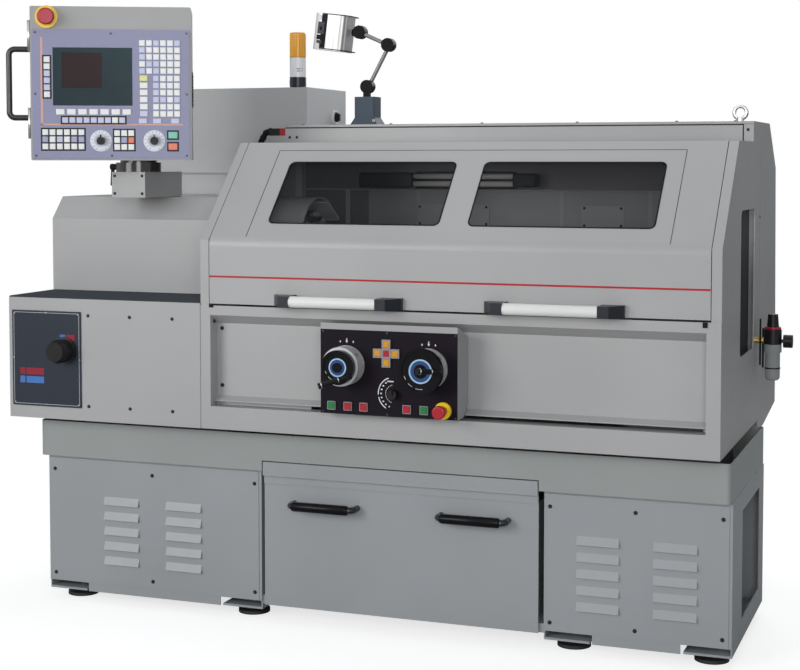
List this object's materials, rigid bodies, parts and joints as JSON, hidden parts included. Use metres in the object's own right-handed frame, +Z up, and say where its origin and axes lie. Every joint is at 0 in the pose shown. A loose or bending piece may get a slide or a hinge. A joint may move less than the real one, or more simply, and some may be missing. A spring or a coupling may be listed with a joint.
{
  "type": "combination lathe",
  "caption": "Enclosed flat-bed combination lathe with lift-up windowed guard door, swivelling control pendant, carriage handwheels, chip drawer, work lamp and signal tower.",
  "frame": {"origin": "centre of the bounding box on the floor plane", "axes": "+X along the spindle towards the tailstock, -Y towards the operator, +Z up"},
  "size_m": [2.106, 1.2143, 1.7059],
  "materials": {
    "black_plastic": "matte",
    "bright_steel": "turned",
    "brushed_aluminium": "brushed",
    "cast_iron_bed": "ground",
    "dark_plate": "satin",
    "dark_unit": "matte",
    "green_plastic": "gloss",
    "greenish_grey_paint": "satin",
    "grey_tube": "satin",
    "lens_plastic": "gloss",
    "light_grey_paint": "satin",
    "motor_paint": "painted",
    "orange_plastic": "gloss",
    "red_plastic": "gloss",
    "slate_paint": "satin",
    "violet_panel": "satin",
    "white_tube": "gloss",
    "window_pane": "clear"
  },
  "bodies": {
    "machine": {"left_pedestal": "light_grey_paint", "right_pedestal": "light_grey_paint", "louvred_covers": "light_grey_paint", "headstock_lower_cover": "light_grey_paint", "headstock_upper_cover": "light_grey_paint", "guard_ends": "light_grey_paint", "front_apron": "light_grey_paint", "rear_guard": "light_grey_paint", "electrical_cabinet": "light_grey_paint", "pendant_arm": "light_grey_paint", "chip_tray": "greenish_grey_paint", "lathe_bed": "cast_iron_bed", "headstock_casting": "cast_iron_bed", "levelling_feet": "cast_iron_bed", "lifting_eyes": "bright_steel", "lamp_base": "slate_paint", "drive_motor": "motor_paint", "signal_tower": "lens_plastic", "air_unit": "dark_unit"},
    "spindle": {"spindle": "bright_steel", "chuck": "bright_steel"},
    "chuck_guard": {"chuck_guard": "bright_steel"},
    "carriage": {"carriage": "cast_iron_bed", "operator_box": "dark_plate"},
    "cross_slide": {"cross_slide": "cast_iron_bed"},
    "turret": {"tool_turret": "bright_steel"},
    "tailstock": {"tailstock_body": "cast_iron_bed"},
    "quill": {"tailstock_quill": "bright_steel"},
    "tail_wheel": {"tailstock_handwheel": "bright_steel"},
    "tail_lever": {"tailstock_lever": "black_plastic"},
    "door": {"door_panel": "light_grey_paint", "door_windows": "window_pane", "door_handles": "white_tube"},
    "drawer": {"chip_drawer": "light_grey_paint"},
    "pendant": {"pendant_case": "light_grey_paint", "pendant_panel": "violet_panel"},
    "lamp_lower": {"lamp_lower_arm": "grey_tube"},
    "lamp_upper": {"lamp_upper_arm": "grey_tube"},
    "lamp_shade": {"lamp_head": "brushed_aluminium"},
    "pendant_knob_left": {"pendant_knob_left": "black_plastic"},
    "pendant_knob_right": {"pendant_knob_right": "black_plastic"},
    "pendant_estop": {"pendant_estop": "red_plastic"},
    "pendant_clamp_lever": {"pendant_clamp_lever": "black_plastic"},
    "handwheel_x": {"handwheel_x": "black_plastic"},
    "handwheel_z": {"handwheel_z": "black_plastic"},
    "panel_estop": {"panel_estop": "red_plastic"},
    "override_knob": {"override_knob": "black_plastic"},
    "range_knob": {"range_knob": "black_plastic"},
    "main_switch": {"main_switch": "black_plastic"},
    "air_regulator_knob": {"air_regulator_knob": "black_plastic"},
    "jog_up": {"jog_up": "orange_plastic"},
    "jog_left": {"jog_left": "orange_plastic"},
    "jog_right": {"jog_right": "orange_plastic"},
    "jog_down": {"jog_down": "orange_plastic"},
    "jog_rapid": {"jog_rapid": "red_plastic"},
    "cycle_start": {"cycle_start": "green_plastic"},
    "feed_hold": {"feed_hold": "red_plastic"},
    "spindle_stop": {"spindle_stop": "red_plastic"},
    "coolant_off": {"coolant_off": "red_plastic"},
    "coolant_on": {"coolant_on": "green_plastic"}
  },
  "joints": [
    {"name": "spindle_spin", "type": "hinge", "parent": "machine", "child": "spindle", "pos_m": [-0.5, -0.09084, 1.02], "axis": [1, 0, 0], "continuous": true},
    {"name": "chuck_guard_lift", "type": "hinge", "parent": "machine", "child": "chuck_guard", "pos_m": [-0.35, 0.04716, 1.092], "axis": [-1, 0, 0], "range_deg": [0, 45]},
    {"name": "door_lift", "type": "hinge", "parent": "machine", "child": "door", "pos_m": [0.2525, 0.08016, 1.3], "axis": [-1, 0, 0], "range_deg": [0, 75]},
    {"name": "carriage_slide", "type": "slide", "parent": "machine", "child": "carriage", "axis": [1, 0, 0], "range_m": [-0.12, 0.22]},
    {"name": "cross_travel", "type": "slide", "parent": "carriage", "child": "cross_slide", "axis": [0, 1, 0], "range_m": [-0.05, 0.022]},
    {"name": "turret_index", "type": "hinge", "parent": "cross_slide", "child": "turret", "pos_m": [0.114, -0.20684, 0.95], "axis": [0, 0, 1], "continuous": true},
    {"name": "handwheel_x_turn", "type": "hinge", "parent": "carriage", "child": "handwheel_x", "pos_m": [-0.0005, -0.52084, 0.734], "axis": [0, -1, 0], "continuous": true},
    {"name": "handwheel_z_turn", "type": "hinge", "parent": "carriage", "child": "handwheel_z", "pos_m": [0.224, -0.52084, 0.734], "axis": [0, -1, 0], "continuous": true},
    {"name": "jog_up_press", "type": "slide", "parent": "carriage", "child": "jog_up", "axis": [0, 1, 0], "range_m": [0, 0.003], "stiffness_N_per_m": 400},
    {"name": "jog_left_press", "type": "slide", "parent": "carriage", "child": "jog_left", "axis": [0, 1, 0], "range_m": [0, 0.003], "stiffness_N_per_m": 400},
    {"name": "jog_right_press", "type": "slide", "parent": "carriage", "child": "jog_right", "axis": [0, 1, 0], "range_m": [0, 0.003], "stiffness_N_per_m": 400},
    {"name": "jog_down_press", "type": "slide", "parent": "carriage", "child": "jog_down", "axis": [0, 1, 0], "range_m": [0, 0.003], "stiffness_N_per_m": 400},
    {"name": "jog_rapid_press", "type": "slide", "parent": "carriage", "child": "jog_rapid", "axis": [0, 1, 0], "range_m": [0, 0.003], "stiffness_N_per_m": 400},
    {"name": "cycle_start_press", "type": "slide", "parent": "carriage", "child": "cycle_start", "axis": [0, 1, 0], "range_m": [0, 0.003], "stiffness_N_per_m": 400},
    {"name": "feed_hold_press", "type": "slide", "parent": "carriage", "child": "feed_hold", "axis": [0, 1, 0], "range_m": [0, 0.003], "stiffness_N_per_m": 400},
    {"name": "spindle_stop_press", "type": "slide", "parent": "carriage", "child": "spindle_stop", "axis": [0, 1, 0], "range_m": [0, 0.003], "stiffness_N_per_m": 400},
    {"name": "coolant_off_press", "type": "slide", "parent": "carriage", "child": "coolant_off", "axis": [0, 1, 0], "range_m": [0, 0.003], "stiffness_N_per_m": 400},
    {"name": "coolant_on_press", "type": "slide", "parent": "carriage", "child": "coolant_on", "axis": [0, 1, 0], "range_m": [0, 0.003], "stiffness_N_per_m": 400},
    {"name": "panel_estop_press", "type": "slide", "parent": "carriage", "child": "panel_estop", "axis": [0, 1, 0], "range_m": [0, 0.006], "stiffness_N_per_m": 600},
    {"name": "override_turn", "type": "hinge", "parent": "carriage", "child": "override_knob", "pos_m": [0.13, -0.49084, 0.664], "axis": [0, -1, 0], "range_deg": [-135, 135]},
    {"name": "tailstock_slide", "type": "slide", "parent": "machine", "child": "tailstock", "axis": [1, 0, 0], "range_m": [-0.12, 0]},
    {"name": "tail_wheel_turn", "type": "hinge", "parent": "tailstock", "child": "tail_wheel", "pos_m": [0.86, -0.09084, 1.02], "axis": [1, 0, 0], "range_deg": [0, 5760]},
    {"name": "quill_travel", "type": "slide", "parent": "tailstock", "child": "quill", "axis": [-1, 0, 0], "range_m": [0, 0.08]},
    {"name": "tail_lever_turn", "type": "hinge", "parent": "tailstock", "child": "tail_lever", "pos_m": [0.765, -0.09084, 1.075], "axis": [0, 0, 1], "range_deg": [-50, 50]},
    {"name": "drawer_slide", "type": "slide", "parent": "machine", "child": "drawer", "axis": [0, -1, 0], "range_m": [0, 0.42]},
    {"name": "pendant_swivel", "type": "hinge", "parent": "machine", "child": "pendant", "pos_m": [-0.742, -0.24084, 1.25], "axis": [0, 0, 1], "range_deg": [-60, 60]},
    {"name": "pendant_clamp_turn", "type": "hinge", "parent": "machine", "child": "pendant_clamp_lever", "pos_m": [-0.806, -0.24084, 1.2435], "axis": [1, 0, 0], "range_deg": [-70, 70]},
    {"name": "pendant_knob_left_turn", "type": "hinge", "parent": "pendant", "child": "pendant_knob_left", "pos_m": [-0.75728, -0.42147, 1.31613], "axis": [0.4446, -0.8957, 0], "range_deg": [-150, 150]},
    {"name": "pendant_knob_right_turn", "type": "hinge", "parent": "pendant", "child": "pendant_knob_right", "pos_m": [-0.6265, -0.35655, 1.31613], "axis": [0.4446, -0.8957, 0], "range_deg": [-150, 150]},
    {"name": "pendant_estop_press", "type": "slide", "parent": "pendant", "child": "pendant_estop", "axis": [-0.4446, 0.8957, 0], "range_m": [0, 0.006], "stiffness_N_per_m": 600},
    {"name": "range_select", "type": "hinge", "parent": "machine", "child": "range_knob", "pos_m": [-0.871, -0.47084, 0.731], "axis": [0, -1, 0], "range_deg": [-60, 60]},
    {"name": "lamp_shoulder", "type": "hinge", "parent": "machine", "child": "lamp_lower", "pos_m": [-0.206, 0.19416, 1.483], "axis": [0, 1, 0], "range_deg": [-30, 25]},
    {"name": "lamp_elbow", "type": "hinge", "parent": "lamp_lower", "child": "lamp_upper", "pos_m": [-0.139, 0.19416, 1.606], "axis": [0, 1, 0], "range_deg": [-15, 40]},
    {"name": "lamp_wrist", "type": "hinge", "parent": "lamp_upper", "child": "lamp_shade", "pos_m": [-0.23, 0.19416, 1.646], "axis": [0, 1, 0], "range_deg": [-35, 45]},
    {"name": "main_switch_turn", "type": "hinge", "parent": "machine", "child": "main_switch", "pos_m": [-0.42, 0.46916, 1.4], "axis": [1, 0, 0], "range_deg": [0, 90]},
    {"name": "air_regulator_turn", "type": "hinge", "parent": "machine", "child": "air_regulator_knob", "pos_m": [1, 0.16516, 0.85], "axis": [0, 0, 1], "range_deg": [-150, 150]}
  ],
  "couplings": [
    {"joint": "quill_travel", "follows": "tail_wheel_turn", "m_per_rad": 0.00079577}
  ]
}
